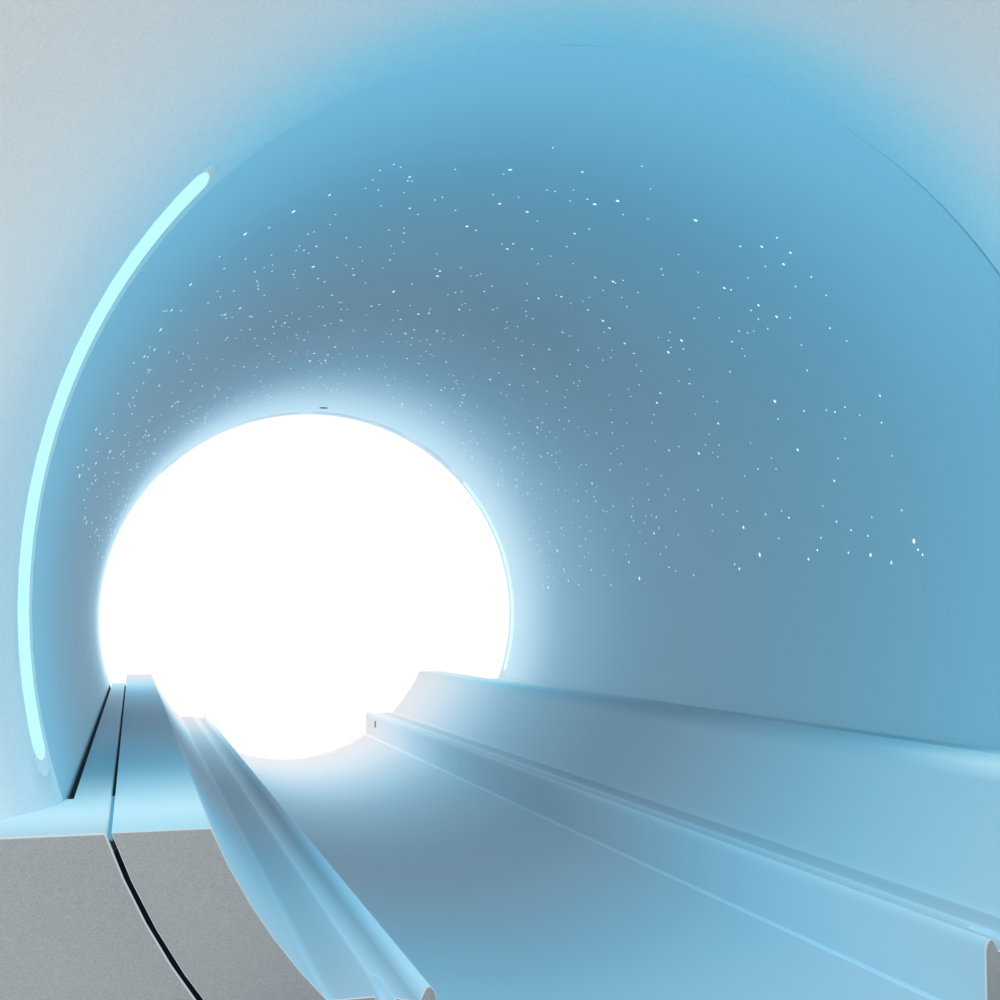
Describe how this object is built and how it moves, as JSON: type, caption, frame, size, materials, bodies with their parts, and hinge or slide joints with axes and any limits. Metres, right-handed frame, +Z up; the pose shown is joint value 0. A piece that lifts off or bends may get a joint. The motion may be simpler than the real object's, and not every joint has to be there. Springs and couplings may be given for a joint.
{
  "type": "magnetic resonance scanner",
  "caption": "Short-bore magnetic resonance scanner with a flared, lit bore opening, rounded covers, a guide bridge through the bore and a fixed table with a sliding top.",
  "frame": {"origin": "on the floor, straight below the middle of the magnet's bore", "axes": "+X across the bore to the right as the patient's table sees it, +Y along the bore from the table to the rear, +Z up"},
  "size_m": [2, 4.3457, 2.32],
  "materials": {
    "vessel": "satin",
    "steel_dark": "satin",
    "steel": "brushed",
    "anodised": "satin",
    "resin": "matt cast resin",
    "copper_laminate": "satin laminate",
    "liner": "satin gloss",
    "black_plastic": "matt",
    "cradle": "fine texture",
    "bridge": "satin",
    "rubber": "matt",
    "seal": "satin",
    "funnel": "fine leather texture",
    "cover": "fine texture",
    "light_strip": "glowing, smooth",
    "display": "glossy",
    "panel": "satin",
    "button": "satin",
    "stop": "satin gloss",
    "table_cover": "fine texture",
    "table_skirt": "fine texture",
    "table_frame": "satin",
    "black_metal": "satin",
    "tabletop": "satin gloss",
    "mattress": "soft, matt",
    "glide": "smooth",
    "handle": "satin"
  },
  "bodies": {
    "scanner": {"magnet_vessel": "vessel", "magnet_feet": "steel_dark", "service_turret": "vessel", "turret_bolts": "steel", "cold_head": "anodised", "vent_pipe": "steel", "gradient_coil": "resin", "coil_wedges": "resin", "body_coil": "copper_laminate", "bore_liner": "liner", "bore_microphone": "black_plastic", "bridge_cradle": "cradle", "bridge": "bridge", "bridge_pads": "rubber", "gap_seals": "seal", "front_funnel": "funnel", "rear_funnel": "funnel", "front_cover": "cover", "rear_cover": "cover", "side_cover_left": "cover", "side_cover_right": "cover", "top_cover": "cover", "turret_cover": "cover", "cover_posts": "steel_dark", "front_light_left": "light_strip", "front_light_right": "light_strip", "rear_light_left": "light_strip", "rear_light_right": "light_strip", "info_display": "display", "positioning_light": "black_plastic", "cable_glands": "black_plastic", "panel_left": "panel", "panel_right": "panel", "table_base": "table_cover", "lift_columns": "anodised", "lower_skirt": "table_skirt", "upper_skirt": "table_cover", "under_cover": "table_cover", "table_frame": "table_frame", "frame_end_cap": "panel", "side_rails": "steel", "drive_motor": "black_metal", "drive_bracket": "anodised", "drive_belt": "rubber", "idler_bracket": "anodised"},
    "top": {"tabletop": "tabletop", "mattress": "mattress", "glide_strips": "glide", "belt_clamp": "anodised", "pull_handle": "handle"},
    "drive_roller": {"drive_pulley": "anodised"},
    "idler_roller": {"idler_pulley": "anodised"},
    "button_in_left_key": {"button_in_left": "button"},
    "button_out_left_key": {"button_out_left": "button"},
    "button_light_left_key": {"button_light_left": "button"},
    "stop_left_key": {"stop_left": "stop"},
    "button_in_right_key": {"button_in_right": "button"},
    "button_out_right_key": {"button_out_right": "button"},
    "button_light_right_key": {"button_light_right": "button"},
    "stop_right_key": {"stop_right": "stop"}
  },
  "joints": [
    {"name": "top_slide", "type": "slide", "parent": "scanner", "child": "top", "axis": [0, 1, 0], "range_m": [0, 2]},
    {"name": "drive_turn", "type": "hinge", "parent": "scanner", "child": "drive_roller", "pos_m": [0, -3.0972, 0.8585], "axis": [1, 0, 0], "continuous": true},
    {"name": "idler_turn", "type": "hinge", "parent": "scanner", "child": "idler_roller", "pos_m": [0, -0.9372, 0.8585], "axis": [1, 0, 0], "continuous": true},
    {"name": "button_in_left_press", "type": "slide", "parent": "scanner", "child": "button_in_left_key", "axis": [0, 1, 0], "range_m": [0, 0.003], "stiffness_N_per_m": 800},
    {"name": "button_out_left_press", "type": "slide", "parent": "scanner", "child": "button_out_left_key", "axis": [0, 1, 0], "range_m": [0, 0.003], "stiffness_N_per_m": 800},
    {"name": "button_light_left_press", "type": "slide", "parent": "scanner", "child": "button_light_left_key", "axis": [0, 1, 0], "range_m": [0, 0.003], "stiffness_N_per_m": 800},
    {"name": "stop_left_press", "type": "slide", "parent": "scanner", "child": "stop_left_key", "axis": [0, 1, 0], "range_m": [0, 0.005]},
    {"name": "button_in_right_press", "type": "slide", "parent": "scanner", "child": "button_in_right_key", "axis": [0, 1, 0], "range_m": [0, 0.003], "stiffness_N_per_m": 800},
    {"name": "button_out_right_press", "type": "slide", "parent": "scanner", "child": "button_out_right_key", "axis": [0, 1, 0], "range_m": [0, 0.003], "stiffness_N_per_m": 800},
    {"name": "button_light_right_press", "type": "slide", "parent": "scanner", "child": "button_light_right_key", "axis": [0, 1, 0], "range_m": [0, 0.003], "stiffness_N_per_m": 800},
    {"name": "stop_right_press", "type": "slide", "parent": "scanner", "child": "stop_right_key", "axis": [0, 1, 0], "range_m": [0, 0.005]}
  ],
  "couplings": [
    {"joint": "drive_turn", "follows": "top_slide", "rad_per_m": -42.553},
    {"joint": "idler_turn", "follows": "top_slide", "rad_per_m": -42.553}
  ]
}
